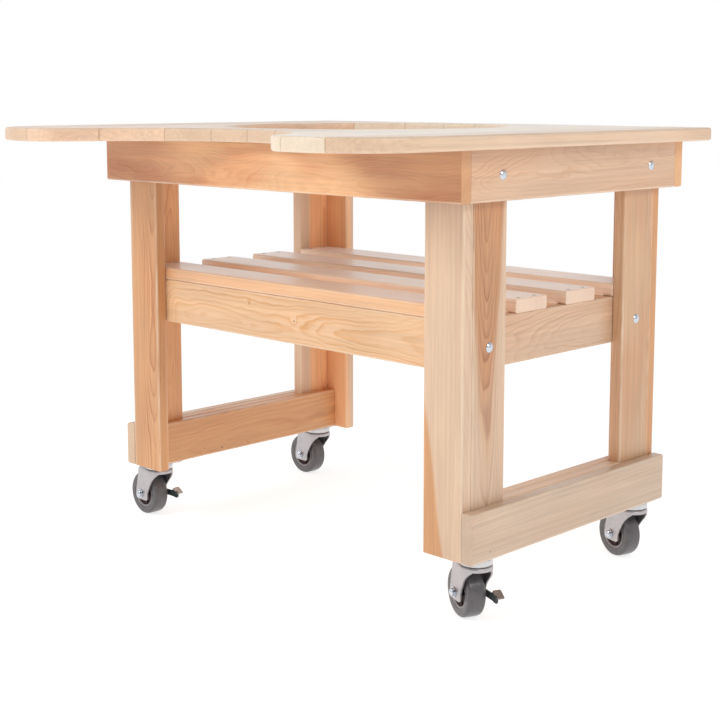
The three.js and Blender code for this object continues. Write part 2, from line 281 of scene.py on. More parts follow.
    # End grain is plainer and duller, and eased edges get a painted highlight where they would catch the
    # light.
    normal = t.node("TexCoord").outputs["Normal"]
    facing = t.math("ABSOLUTE", t.vector("DOT_PRODUCT", normal, given["Axis"]))
    end = t.spread(facing, 0.80, 0.97)
    colour = t.mix(t.math("MULTIPLY", end, 0.5), colour, t.tinted(given["Early"], CUT_TINT))
    edge_highlight = t.node("Attribute", attribute_name="edge_highlight").outputs["Fac"]
    highlight_mask = t.math("MULTIPLY", edge_highlight, t.spread(pattern("highlight_breakup"), 0.25, 0.7, 0.25, 0.8))
    colour = t.mix(highlight_mask, colour, t.mix(0.6, colour, HIGHLIGHT_PALE))
    # A glue line shows along the sides where a board of the top meets the next.
    seam_low, seam_high, _ = t.split(given["Seam"])
    seam_low = t.math("MULTIPLY", t.spread(y, -GLUE_TO, -GLUE_FROM, 1.0, 0.0), seam_low)
    seam_high = t.math("MULTIPLY", t.spread(y, GLUE_FROM, GLUE_TO), seam_high)
    colour = t.mix(t.math("ADD", seam_low, seam_high), colour, t.tinted(colour, GLUE_TINT))
    t.feed(result["Color"], colour)
    rough = t.math("ADD", t.spread(late, 0.0, 1.0, 0.36, 0.30), t.spread(fibre, 0.2, 0.8, -0.04, 0.05))
    rough = t.math("ADD", rough, t.spread(patch, 0.3, 0.7, -0.07, 0.09))
    rough = t.math("ADD", t.math("MULTIPLY_ADD", highlight_mask, 0.08, rough), given["Rough"])
    t.feed(result["Roughness"], t.math("MULTIPLY_ADD", end, 0.14, rough))
    relief = t.math("ADD", t.math("MULTIPLY", late, 0.45), t.math("MULTIPLY", fibre, 0.55))
    t.feed(result["Height"], relief)
    return group


WOOD = wood_group()
TONES = {
    "cream": ((0.750, 0.530, 0.360), (0.58, 0.36, 0.21)),
    "honey": ((0.800, 0.515, 0.300), (0.68, 0.33, 0.115)),
    "apron": ((0.830, 0.480, 0.245), (0.66, 0.27, 0.095)),
    "rust": ((0.690, 0.355, 0.160), (0.45, 0.165, 0.055)),
    "red": ((0.575, 0.285, 0.135), (0.34, 0.115, 0.040)),
    "tan": ((0.680, 0.425, 0.250), (0.45, 0.215, 0.100)),
    # This tone is the rust tone lightened as painted light, for the back left leg's faces, which lie in
    # shade inside the frame.
    "rust_painted_lit": ((0.940, 0.520, 0.265), (0.62, 0.20, 0.070)),
    # This tone is the rust tone lightened as painted light, for the front left leg's return, which lies
    # partly in shade.
    "rust_painted_half_lit": ((0.800, 0.420, 0.195), (0.52, 0.19, 0.065)),
    # This tone is lightened and paled as a painted reflection of the bright studio on the slat tops.
    "rose_painted_sheen": ((0.900, 0.650, 0.480), (0.74, 0.440, 0.275)),
    "pink": ((0.700, 0.465, 0.310), (0.54, 0.300, 0.165)),
    "pale": ((0.645, 0.475, 0.345), (0.50, 0.330, 0.210)),
    "straw": ((0.890, 0.740, 0.570), (0.72, 0.50, 0.32)),
    "amber": ((0.840, 0.580, 0.400), (0.65, 0.37, 0.20)),
    "sap": ((0.720, 0.515, 0.355), (0.56, 0.37, 0.23)),
}


NOWHERE = 9.0


def wood(name, tone, axis, pith=(0.03, -0.09), tilt=(0.0, 0.0), pitch=0.0032, sharp=4.0, figure=1.0,
         seed=1.0, sap=NOWHERE, sap_tilt=0.0, contrast=0.8, blush=0.25, seam=(0.0, 0.0), shade_ends=NOWHERE,
         end_shade=0.8, knots=(), gloss=0.3, rough=0.0, sheen=0.0):
    """One board's own timber. The pith is where the log's middle lies, across and through the board.

    Sapwood starts at a radius of sap; beyond the given distance from the middle, painted shade darkens the
    ends.
    """
    early, late = TONES[tone]
    material, t, shader = new_material("wood_" + name)
    group = t.node("Group", node_tree=WOOD)
    values = {"Pith Y": pith[0], "Pith Z": pith[1], "Tilt Y": tilt[0], "Tilt Z": tilt[1],
              "Pitch": pitch, "Sharp": sharp, "Figure": figure, "Seed": seed,
              "Sap": sap, "Sap Tilt": sap_tilt, "Contrast": contrast, "Blush": blush,
              "Early": early + (1,), "Late": late + (1,), "Sapwood": TONES["sap"][0] + (1,),
              "Seam": seam + (0.0,), "Shade Ends": shade_ends, "End Shade": end_shade, "Rough": rough, "Axis": axis}
    values.update(zip(KNOTS, knots))
    for label, value in values.items():
        group.inputs[label].default_value = value
    t.feed(shader["Base Color"], group.outputs["Color"])
    t.feed(shader["Roughness"], group.outputs["Roughness"])
    t.feed(shader["Normal"], t.bump(group.outputs["Height"], 0.22, 0.0006))
    shader["IOR"].default_value = 1.46
    shader["Coat Weight"].default_value = gloss
    shader["Coat Roughness"].default_value = 0.30 + rough
    shader["Sheen Weight"].default_value = sheen
    shader["Sheen Roughness"].default_value = 0.35
    return material


def surface(name, colour, metallic=0.0, rough=0.4, spots=0.06, scale=90.0, bump=0.1, shine=0.5):
    """A finish with fine mottling in its colour, roughness and relief."""
    material, t, shader = new_material(name)
    at = t.node("TexCoord").outputs["Object"]
    fine = t.noise(at, scale * 12, 3.0, 0.6)
    broad = t.noise(at, scale, 2.0, 0.5)
    low = tuple(channel * (1 - spots * 2) for channel in colour) + (1,)
    high = tuple(min(1.0, channel * (1 + spots)) for channel in colour) + (1,)
    blend = t.math("ADD", t.math("MULTIPLY", fine, 0.45), t.math("MULTIPLY", broad, 0.55))
    t.feed(shader["Base Color"], t.mix(t.spread(blend, 0.3, 0.7), low, high))
    t.feed(shader["Roughness"], t.spread(blend, 0.25, 0.75, rough * 0.8, rough * 1.2))
    t.feed(shader["Normal"], t.bump(fine, bump, 0.0003))
    shader["Metallic"].default_value = metallic
    shader["Specular IOR Level"].default_value = shine
    return material


ZINC = surface("bright_zinc", (0.50, 0.475, 0.485), metallic=0.85, rough=0.34, spots=0.05, scale=120.0)
DRUM = surface("drum_zinc", (0.66, 0.66, 0.67), metallic=0.75, rough=0.38, spots=0.05, scale=120.0)
CHROME = surface("bolt_zinc", (0.62, 0.66, 0.72), metallic=1.0, rough=0.16, spots=0.04, scale=200.0)
RUBBER = surface("grey_tyre", (0.116, 0.107, 0.112), rough=0.29, spots=0.08, scale=60.0, bump=0.25)
HUB = surface("brown_hub", (0.050, 0.025, 0.026), rough=0.5, spots=0.1, scale=80.0, shine=0.2)
RIM = surface("pale_rim", (0.34, 0.31, 0.32), rough=0.4, spots=0.06, scale=80.0)
GREEN = surface("lever_paint", (0.050, 0.068, 0.066), metallic=0.2, rough=0.38, spots=0.12, scale=90.0)
# Brownish on metal: a painted reflection of the wood above the pedal.
PEDAL_WOOD_REFLECTION = surface("pedal_painted_wood_reflection", (0.36, 0.30, 0.27), metallic=0.8, rough=0.4, spots=0.18, scale=60.0)
BRIGHT_PEDAL = surface("bright_pedal", (0.60, 0.59, 0.59), metallic=0.2, rough=0.35, spots=0.1, scale=60.0)
SCREW = surface("screw_zinc", (0.55, 0.52, 0.44), metallic=1.0, rough=0.3, spots=0.05, scale=200.0)


# Meshes
def add_object(name, data):
    thing = bpy.data.objects.new(name, data)
    bpy.context.scene.collection.objects.link(thing)
    return thing


def make(name, form, material, body, grain=None, edge_highlight=None, smooth=0.0, replaces=()):
    """A form becomes a piece that rides on its body. It is points in millimetres and faces between them.

    Edges that turn by less than smooth degrees are shaded soft.
    """
    points, faces = form
    mesh = bpy.data.meshes.new(name)
    mesh.from_pydata([Vector(p) * MM for p in points], [], faces)
    mesh.materials.append(material)
    work = bmesh.new()
    work.from_mesh(mesh)
    bmesh.ops.recalc_face_normals(work, faces=work.faces)
    if smooth:
        for face in work.faces:
            face.smooth = True
        for edge in work.edges:
            edge.smooth = len(edge.link_faces) == 2 and edge.calc_face_angle(0) < math.radians(smooth)
    work.to_mesh(mesh)
    work.free()
    if grain:
        layer = mesh.attributes.new("grain", "FLOAT_VECTOR", "POINT")
        flat = [value * MM for point in grain for value in point]
        layer.data.foreach_set("vector", flat)
        mesh.attributes.new("edge_highlight", "FLOAT", "POINT").data.foreach_set("value", edge_highlight)
    piece = add_object(name, mesh)
    if smooth:
        piece.modifiers.new("even_normals", "WEIGHTED_NORMAL").keep_sharp = True
    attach(piece, body)
    if replaces:
        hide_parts(*replaces)


def loft(rings, hollow=False):
    """The form made by rings of equally many points: closed by flat ends or, if hollow, a closed tube."""
    count = len(rings[0])
    points = [point for ring in rings for point in ring]
    faces = []
    for level in range(len(rings) if hollow else len(rings) - 1):
        low, high = level * count, (level + 1) % len(rings) * count
        for i in range(count):
            j = (i + 1) % count
            faces.append((low + i, low + j, high + j, high + i))
    if not hollow:
        faces.append(tuple(reversed(range(count))))
        faces.append(tuple(range((len(rings) - 1) * count, len(rings) * count)))
    return points, faces


CORNER_STEPS = 4
CORNER_POINTS = CORNER_STEPS + 1


def rounded(half_a, half_b, radius, inset):
    """A rectangle with rounded corners, drawn inwards by an inset."""
    a, b, r = half_a - inset, half_b - inset, max(radius - inset, 0.05)
    ring = []
    for quarter, (sa, sb) in enumerate(((1, 1), (-1, 1), (-1, -1), (1, -1))):
        for step in range(CORNER_POINTS):
            angle = math.pi / 2 * (quarter + step / CORNER_STEPS)
            ring.append((sa * (a - r) + r * math.cos(angle), sb * (b - r) + r * math.sin(angle)))
    return ring


def board(name, low, high, timber, values, node, ease=BOARD_EASE):
    """A straight eased board in a box given in millimetres, its grain along the longest side.

    Timber is the name of its wood, and values are what that wood is made with.
    """
    size = [high[i] - low[i] for i in range(3)]
    middle = [(high[i] + low[i]) / 2 for i in range(3)]
    order = sorted(range(3), key=lambda i: -size[i])
    long, wide, thick = order
    half = [size[i] / 2 for i in order]
    rings, grain, edge_highlight = [], [], []
    for along, inset in ((-half[0], END_EASE), (-half[0] + END_EASE, 0.0),
                         (half[0] - END_EASE, 0.0), (half[0], END_EASE)):
        ring = []
        # Mid-arc points of each eased edge carry the painted highlight.
        edge_highlight += [0.0 if inset or i % CORNER_POINTS in (0, CORNER_STEPS) else 1.0
                 for i in range(4 * CORNER_POINTS)]
        for a, b in rounded(half[1], half[2], ease, inset):
            point = [0.0, 0.0, 0.0]
            point[long], point[wide], point[thick] = along, a, b
            ring.append([point[i] + middle[i] for i in range(3)])
            grain.append((along, a, b))
        rings.append(ring)
    axis = [1.0 if i == long else 0.0 for i in range(3)]
    make(name, loft(rings), wood(timber, axis=axis, **values), "table", grain, edge_highlight,
         replaces=[node])


def node_box(node):
    """A node's lowest and highest corner in millimetres."""
    low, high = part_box(node)
    return [value / MM for value in low], [value / MM for value in high]


# The timber of each board
SLAT_COAT = dict(gloss=1.0, rough=0.03, sheen=0.6)
FRAME_TIMBER = {
    # The front apron gets painted shade towards its ends, where the top's overhanging front corners shade
    # it.
    "apron_front": dict(
        tone="apron", pith=(-0.02, -0.060), tilt=(0.02, 0.012), pitch=0.0030, figure=1.7, seed=3.1,
        contrast=0.40, sharp=2.2, blush=0.9, shade_ends=0.15, end_shade=0.75),
    "apron_right": dict(
        tone="pink", pith=(0.015, -0.050), tilt=(0.03, 0.03), pitch=0.0036, figure=1.5, seed=5.3,
        contrast=0.85, blush=0.3),
    "apron_left": dict(
        tone="honey", pith=(-0.01, -0.055), tilt=(0.02, -0.02), pitch=0.0036, figure=1.4, seed=6.9),
    "apron_back": dict(
        tone="apron", pith=(0.02, -0.07), tilt=(-0.015, 0.02), pitch=0.0034, figure=1.5, seed=8.2,
        contrast=0.6),
    "top_cleat_front": dict(tone="sap", seed=2.2),
    "top_cleat_back": dict(tone="sap", seed=4.4),
    "leg_face_front_right": dict(
        tone="rust", pith=(-0.100, -0.030), tilt=(-0.035, 0.0), pitch=0.0021, figure=0.45, seed=1.7,
        contrast=0.75, sap=0.049, sap_tilt=-0.132, blush=0.1),
    "leg_return_front_right": dict(
        tone="red", pith=(-0.008, -0.040), tilt=(0.0, 0.035), pitch=0.0025, figure=0.5, seed=9.4,
        sap=0.0595, contrast=1.0, sharp=2.6, blush=0.2),
    "leg_face_front_left": dict(
        tone="rust", pith=(0.03, -0.05), tilt=(0.02, 0.02), pitch=0.0026, figure=0.5, seed=7.7,
        contrast=1.1, sap=0.076),
    "leg_return_front_left": dict(
        tone="rust_painted_half_lit", pith=(0.01, -0.05), tilt=(0.0, 0.02), pitch=0.0028, figure=0.7, seed=2.9,
        blush=0.1),
    "leg_face_back_right": dict(
        tone="rust", pith=(0.10, -0.06), tilt=(0.01, 0.01), pitch=0.0028, figure=0.6, seed=4.8),
    "leg_return_back_right": dict(
        tone="tan", pith=(0.09, -0.05), tilt=(0.01, 0.015), pitch=0.0027, figure=0.6, seed=6.2,
        blush=0.5),
    "leg_face_back_left": dict(
        tone="rust_painted_lit", pith=(-0.06, -0.05), pitch=0.0028, figure=0.4, seed=3.8, sap=0.114),
    "leg_return_back_left": dict(
        tone="rust_painted_lit", pith=(0.030, -0.045), tilt=(0.0, 0.01), pitch=0.0024, figure=0.3, seed=5.9,
        sap=0.072, contrast=0.9),
    "shelf_rail_front": dict(
        tone="honey", pith=(0.0, -0.050), tilt=(0.015, 0.02), pitch=0.0044, sharp=2.2, figure=1.7,
        seed=12.3, contrast=0.85, blush=0.15, shade_ends=0.36, end_shade=0.4,
        knots=((-0.43, -0.01, 0.0110), (-0.11, 0.02, 0.0014), (0.02, 0.0, 0.0018))),
    "shelf_rail_back": dict(
        tone="honey", pith=(0.01, -0.06), tilt=(0.01, -0.015), pitch=0.0036, figure=1.4, seed=13.1),
    "shelf_rail_left": dict(
        tone="honey", pith=(0.01, -0.05), tilt=(0.01, 0.02), pitch=0.0036, figure=1.4, seed=14.6),
    "shelf_rail_right": dict(
        tone="pink", pith=(0.0, -0.045), tilt=(0.02, 0.03), pitch=0.0040, figure=1.6, seed=15.2,
        contrast=0.65, sharp=2.6),
    "shelf_slat_1": dict(
        tone="apron", pith=(0.05, -0.07), pitch=0.0030, figure=0.8, seed=16.4, **SLAT_COAT,
        contrast=0.6),
    "shelf_slat_2": dict(
        tone="rose_painted_sheen", pith=(-0.04, -0.06), pitch=0.0034, seed=17.5, **SLAT_COAT),
    "shelf_slat_3": dict(
        tone="rose_painted_sheen", pith=(0.03, -0.05), pitch=0.0034, seed=18.1, **SLAT_COAT),
    "shelf_slat_4": dict(
        tone="rose_painted_sheen", pith=(-0.06, -0.08), pitch=0.0030, figure=0.9, seed=19.6, **SLAT_COAT),
}


def build_frame():
    for node, values in FRAME_TIMBER.items():
        low, high = node_box(node)
        ease = CLEAT_EASE if node.startswith("top_cleat") else BOARD_EASE
        board(node + "_board", low, high, node, values, node, ease)


BEAM_ENDS = (("left", -1, ("cream", "rust", "rust")), ("right", 1, ("pale", "cream", "cream")))
BEAM_OUTER = 487.5
PLY_THICK = 25.0
PLY_HALVES = (290.0, 176.0, 265.0)
PLY_GAP = 0.12
PLY_KNOTS = {
    ("left", 2): ((-0.137, -0.027, 0.0016), (-0.088, -0.033, 0.0022), (-0.012, -0.0355, 0.0016)),
    ("right", 0): ((-0.2425, -0.0284, 0.0013),),
}


def build_foot_beams():
    """Each foot beam is three boards side by side."""
    for end, side, tones in BEAM_ENDS:
        node = "foot_beam_" + end
        low, high = node_box(node)
        for index, (half, tone) in enumerate(zip(PLY_HALVES, tones)):
            outer = BEAM_OUTER - index * PLY_THICK
            xs = sorted((side * outer, side * (outer - PLY_THICK)))
            values = dict(tone=tone, pith=(0.09 - 0.05 * index, -0.07), tilt=(0.03, 0.01), pitch=0.0030,
                          figure=0.7, seed=21.0 + index * 1.3 + side, contrast=0.6,
                          knots=PLY_KNOTS.get((end, index), ()))
            board(f"{node}_ply_{index + 1}", [xs[0] + PLY_GAP, FRAME_BACK - half, low[2]],
                  [xs[1] - PLY_GAP, FRAME_BACK + half, high[2]],
                  f"{node}_{index}", values, node)


# The board top
EDGE_STEPS = 20
NOTCH_STEPS = 24
EASE_STEPS = 4


def arc(radius, x):
    """Height of a circle at a distance x from its middle, and 0 past its end."""
    return math.sqrt(max(radius * radius - x * x, 0.0))


def front_line(x, d):
    """The front edge of the top at x, drawn inwards by d."""
    across = abs(x)
    corner_x = TOP_HALF - CORNER_RADIUS
    lean = math.atan2(SHOULDER_Y - BAY_Y, SHOULDER_X)
    tangent = SHOULDER_X - (SHOULDER_RADIUS - d) * math.cos(lean)
    if across >= corner_x:
        return -TOP_FRONT + CORNER_RADIUS - arc(CORNER_RADIUS - d, across - corner_x)
    if across >= SHOULDER_X:
        return -TOP_FRONT + d
    if across > tangent:
        return SHOULDER_Y - arc(SHOULDER_RADIUS - d, across - SHOULDER_X)
    return BAY_Y + arc(BAY_RADIUS + d, across)


def back_line(x, d):
    """The back edge of the top at x, drawn inwards by d."""
    across = abs(x)
    corner_x = TOP_HALF - BACK_CORNER
    if across <= corner_x:
        return TOP_BACK - d
    return TOP_BACK - BACK_CORNER + arc(BACK_CORNER - d, across - corner_x)


def hole_reach(x, d):
    """How far the hole, widened by d, reaches from its middle at x."""
    return arc(HOLE_RADIUS + d, x - HOLE_X)


def samples(a, b, crowd):
    """Places from a to b, closer together towards an end of the top where the corner turns."""
    out = []
    for i in range(EDGE_STEPS + 1):
        s = i / EDGE_STEPS
        if crowd < 0:
            s = 1 - math.cos(s * math.pi / 2)
        elif crowd > 0:
            s = math.sin(s * math.pi / 2)
        out.append(a + (b - a) * s)
    return out


def notch(r, start, sweep):
    """The hole's arc in a board that it only bites into."""
    angles = [start - sweep * i / NOTCH_STEPS for i in range(NOTCH_STEPS + 1)]
    return [(HOLE_X + r * math.cos(angle), r * math.sin(angle)) for angle in angles]


def top_ring(index, part, d, joint):
    """Outline of one board of the top at one level: part is whole, front or rear."""
    x0 = -TOP_HALF + index * TOP_BOARD + JOINT_HALF + joint
    x1 = -TOP_HALF + (index + 1) * TOP_BOARD - JOINT_HALF - joint
    crowd = 0
    if index == 0:
        x0, crowd = -TOP_HALF + d, -1
    if index == TOP_COUNT - 1:
        x1, crowd = TOP_HALF - d, 1
    xs = samples(x0, x1, crowd)
    near_line = hole_reach if part == "rear" else front_line
    ring = [(x, near_line(x, d)) for x in xs]
    if part == "front":
        return ring + [(x, -hole_reach(x, d)) for x in reversed(xs)]
    r = HOLE_RADIUS + d
    if part == "whole" and x0 < HOLE_X - HOLE_RADIUS < x1:
        turn = math.acos((x1 - HOLE_X) / r)
        ring += notch(r, -turn, 2 * math.pi - 2 * turn)
    ring += [(x, back_line(x, d)) for x in reversed(xs)]
    if part == "whole" and x0 < HOLE_X + HOLE_RADIUS < x1:
        turn = math.acos((x0 - HOLE_X) / r)
        ring += notch(r, turn, 2 * turn)
    return ring


def ease_levels():
    """Heights over the underside with how far the outer edge and the joint edge are drawn in there."""
    half = []
    for step in range(EASE_STEPS + 1):
        angle = math.pi / 2 * step / EASE_STEPS
        rise = TOP_EASE * (1 - math.cos(angle))
        inset = TOP_EASE * (1 - math.sin(angle))
        joint = 0.0
        if rise < JOINT_EASE:
            joint = JOINT_EASE - arc(JOINT_EASE, JOINT_EASE - rise)
        half.append((rise, inset, joint))
    return half + [(TOP_THICK - rise, inset, joint) for rise, inset, joint in reversed(half)]


TOP_TONES = ["amber", "cream", "amber"] + ["straw"] * 8 + ["cream"]
TOP_PITHS = [(0.05, -0.06), (-0.03, -0.07), (0.10, -0.05), (0.02, -0.09), (-0.05, -0.06), (0.03, -0.07),
             (0.06, -0.05), (-0.02, -0.06), (0.04, -0.08), (-0.06, -0.06), (0.02, -0.05), (0.08, -0.07)]
# The boards that the hole divides, with the tone of their front parts.
BRIDGE_TONES = {3: "amber", 4: "cream", 5: "cream", 6: "cream", 7: "cream"}
GLUE_SHOWS = 0.5
# Strength of the painted highlight along the top's eased edges.
TOP_EDGE_HIGHLIGHT = 0.4


def build_top():
    draw = random.Random(41)
    for index in range(TOP_COUNT):
        for part in (("front", "rear") if index in BRIDGE_TONES else ("whole",)):
            rings, grain, edge_highlight = [], [], []
            middle = -TOP_HALF + (index + 0.5) * TOP_BOARD
            for rise, inset, joint in ease_levels():
                ring = top_ring(index, part, inset, joint)
                edge_highlight += [TOP_EDGE_HIGHLIGHT if 0 < inset < TOP_EASE else 0.0] * len(ring)
                rings.append([(x, y + FRAME_BACK, TOP_UNDER + rise) for x, y in ring])
                grain += [(y, x - middle, rise - TOP_THICK / 2) for x, y in ring]
            name = f"top_{index + 1:02d}_{part}"
            seam = (GLUE_SHOWS if index > 0 else 0.0, GLUE_SHOWS if index < TOP_COUNT - 1 else 0.0)
            values = dict(pith=TOP_PITHS[index],
                          tilt=(draw.uniform(-0.02, 0.02), draw.uniform(-0.02, 0.02)),
                          pitch=draw.uniform(0.0028, 0.0038), figure=draw.uniform(0.8, 1.4),
                          contrast=draw.uniform(0.5, 0.7), seed=30.0 + index * 1.7, seam=seam,
                          gloss=0.3 if index < 2 else 0.6, sheen=0.15)
            tone, node = TOP_TONES[index], f"top_board_{index + 1:02d}"
            if part == "front":
                tone, node = BRIDGE_TONES[index], "top_bridge"
            material = wood(name, tone, (0.0, 1.0, 0.0), **values)
            make(name, loft(rings), material, "table", grain, edge_highlight, replaces=[node])


# Turned and pressed metal
SOFT = 35.0
THIN = 0.01


def turned(name, profile, centre, axis, material, body, sides=48, smooth=SOFT, replaces=(),
           hollow=False):
    """A profile of radius and height pairs turned about an axis through a centre, in millimetres."""
    axis = Vector(axis).normalized()
    side = axis.orthogonal().normalized()
    other = axis.cross(side)
    angles = [2 * math.pi * i / sides for i in range(sides)]
    spokes = [side * math.cos(angle) + other * math.sin(angle) for angle in angles]
    rings = [[Vector(centre) + axis * height + spoke * radius for spoke in spokes]
             for radius, height in profile]
    make(name, loft(rings, hollow), material, body, smooth=smooth, replaces=replaces)


BOLT_DOME = [(THIN, 4.6), (2.6, 4.35), (5.0, 3.6), (7.2, 2.35), (8.6, 1.1), (9.2, 0.4), (9.2, 0.0),
             (THIN, 0.0)]
BOLT_WASHER = [(THIN, 0.0), (10.0, 0.0), (10.0, 1.2), (9.7, 1.5), (THIN, 1.5)]
BOLT_NUT = [(THIN, 1.5), (6.8, 1.5), (7.4, 2.1), (7.4, 6.4), (6.8, 7.0), (4.0, 7.0), (4.0, 10.5),
            (3.3, 11.2), (THIN, 11.2)]
BOLT_GRIP = 50.0
BOLT_Y = 220.5
# Name, distance from the middle of the table, and height of the bolts of a leg.
BOLT_ROWS = (("apron", 487.5, 781.5), ("shelf", 462.5, 486.5))
SLAT_SCREW = [(THIN, 0.12), (1.2, 0.15), (1.6, 0.5), (3.6, 0.5), (3.9, 0.3), (3.9, 0.0), (THIN, 0.0)]
SLAT_COUNT = 4
SCREW_FROM_END = 12.5
SCREW_FROM_SIDE = 22.0


def carriage_bolt(name, face, axis):
    """Domed head on one face, washer and nut on the far side of what it clamps."""
    turned(name + "_head", BOLT_DOME, face, axis, CHROME, "table")
    axis = Vector(axis)
    inner = Vector(face) - axis * BOLT_GRIP
    turned(name + "_washer", BOLT_WASHER, inner, -axis, ZINC, "table")
    turned(name + "_nut", BOLT_NUT, inner, -axis, CHROME, "table", sides=6, smooth=0.0)


def build_bolts():
    for end, side in (("left", -1), ("right", 1)):
        for row, y in (("front", FRAME_BACK - BOLT_Y), ("back", FRAME_BACK + BOLT_Y)):
            for label, out, height in BOLT_ROWS:
                carriage_bolt(f"bolt_{label}_{row}_{end}", (side * out, y, height), (side, 0, 0))


def build_slat_screws():
    for slat in range(SLAT_COUNT):
        low, high = node_box(f"shelf_slat_{slat + 1}")
        for end, x in (("a", low[0] + SCREW_FROM_END), ("b", high[0] - SCREW_FROM_END)):
            for side, y in (("f", low[1] + SCREW_FROM_SIDE), ("r", high[1] - SCREW_FROM_SIDE)):
                name = f"slat_screw_{slat + 1}_{end}{side}"
                turned(name, SLAT_SCREW, (x, y, high[2]), (0, 0, 1), SCREW, "table", sides=20)


NOSE_STEPS = 12
CROWN_CORNER = 4.0


def crown_tangent(r, back, side):
    """The angle at which a line from the back corner touches the round front."""
    return math.atan2(side, back) - math.acos(r / math.hypot(back, side))


def crown_outline(d):
    """The fork's crown from above, drawn inwards by d: round in front, narrowing to two back corners."""
    r = CROWN_RADIUS - d
    back, side = CROWN_BACK + d, CHEEK_OUT - d
    tangent = crown_tangent(r, back, side)
    angles = [tangent * (1 - i / NOSE_STEPS) for i in range(2 * NOSE_STEPS + 1)]
    nose = [(r * math.cos(angle), -r * math.sin(angle)) for angle in angles]
    soft = max(CROWN_CORNER - d, 0.5)
    corner_a = [(back + soft - soft * math.sin(a), side - soft + soft * math.cos(a))
                for a in (math.pi * i / 8 for i in (1, 2, 3, 4))]
    corner_b = [(x, -y) for x, y in reversed(corner_a)]
    return nose + corner_a + corner_b


def crown_side(x):
    """Half width of the crown at x."""
    tangent = crown_tangent(CROWN_RADIUS, CROWN_BACK, CHEEK_OUT)
    touch_x, touch_y = CROWN_RADIUS * math.cos(tangent), CROWN_RADIUS * math.sin(tangent)
    if x > touch_x:
        return arc(CROWN_RADIUS, x)
    return CHEEK_OUT + (touch_y - CHEEK_OUT) * (x - CROWN_BACK) / (touch_x - CROWN_BACK)


def mirrored(profile, middle=()):
    """A profile of one face of a wheel, a middle, and the same profile for the other face."""
    return profile + list(middle) + [(radius, -height) for radius, height in reversed(profile)]


# Plate, drum and kingpin, with heights over the floor.
PLATE_HALF = (30.0, 46.0)
PLATE_CORNER = 6.0
PLATE_BOTTOM = LEG_BOTTOM - 3.0
PLATE_SCREWS = (22.0, 37.5)
PLATE_SCREW = [(THIN, 0.0), (5.0, 0.0), (5.0, 0.8), (4.2, 2.0), (2.6, 2.7), (THIN, 2.9)]
DRUM_PROFILE = [(THIN, 119.0), (29.0, 119.0), (29.6, 118.2), (29.6, 112.6), (29.0, 111.6),
                (29.0, DRUM_BOTTOM + 3.0), (28.2, DRUM_BOTTOM + 1.4), (26.8, DRUM_BOTTOM + 0.4),
                (24.8, DRUM_BOTTOM + 0.1), (THIN, DRUM_BOTTOM + 0.1)]
PIN_SHOULDER = CROWN_TOP - 3.25
PIN_PROFILE = [(THIN, DRUM_BOTTOM + 0.2), (6.0, DRUM_BOTTOM + 0.2), (6.0, PIN_SHOULDER),
               (9.5, PIN_SHOULDER), (9.5, PIN_SHOULDER - 2.3), (8.4, PIN_SHOULDER - 3.0),
               (THIN, PIN_SHOULDER - 3.0)]

# Height of each level of the crown, outside and then inside, and how far it is drawn in.
CROWN_LEVELS = ((CROWN_TOP, 3.2), (CROWN_TOP - 0.5, 1.6), (CROWN_TOP - 1.6, 0.5), (CROWN_TOP - 3.0, 0.0),
                (CROWN_BOTTOM + 0.5, 0.0), (CROWN_BOTTOM, 0.5), (CROWN_BOTTOM, 2.5),
                (CROWN_BOTTOM + 0.5, 3.0), (CROWN_TOP - 3.0, 3.4))
CHEEK_COLUMNS = 14
CHEEK_THICK = 3.0
CHEEK_TOP = CROWN_TOP - 3.5
CHEEK_FRONT = 23.0
CHEEK_CURVE = 1.45
CHEEK_TUCK = 0.4
FORK_SOFT = 40.0
TOE_CORNER = 6.0
TOE_ROWS = 8
CHEEK_ROWS = 18
FLARE_FROM = 62.0
FLARE_TO = CROWN_BOTTOM + 2.0

# Wheel and axle, with heights across the caster from its middle.
TYRE_PROFILE = mirrored([(28.5, -14.9), (29.9, -15.7), (30.6, -16.7), (32.5, -17.1), (39.6, -17.4),
                         (42.9, -16.8), (45.0, -15.0), (46.0, -12.6), (46.2, -9.0)], [(46.26, 0.0)])
RIM_PROFILE = mirrored([(26.6, -13.2), (27.0, -15.2), (27.9, -16.1), (28.9, -16.4), (29.9, -15.9),
                        (30.0, -14.5)])
HUB_PROFILE = mirrored([(4.4, -21.0), (10.0, -21.0), (11.0, -20.2), (11.4, -12.4), (13.0, -11.3),
                        (22.9, -11.0), (25.0, -11.8), (26.2, -13.6), (26.8, -13.9)])
RIBS = 5
RIB_FROM, RIB_TO = 10.5, 24.6
# How far across the caster a rib starts and ends, and half its width there.
RIB_STEPS = ((10.8, 1.7), (13.4, 1.2))
FIT = 0.25
SHANK_END = 27.4
HEAD_AT = -CHEEK_OUT - FIT
HEAD_PROFILE = [(THIN, HEAD_AT), (9.6, HEAD_AT), (9.6, HEAD_AT - 1.2), (7.8, HEAD_AT - 1.2),
                (7.8, HEAD_AT - 1.9), (7.3, HEAD_AT - 2.0), (7.3, HEAD_AT - 5.2), (6.3, HEAD_AT - 6.2),
                (3.8, HEAD_AT - 7.7), (2.0, HEAD_AT - 8.3), (THIN, HEAD_AT - 8.4)]

# Brake lever, with places forwards from the axle and upwards.
LEVER_THICK = 3.0
LEVER_RING = 9.0
RING_STEPS = 12
RING_FROM, RING_SWEEP = 48.0, 264.0
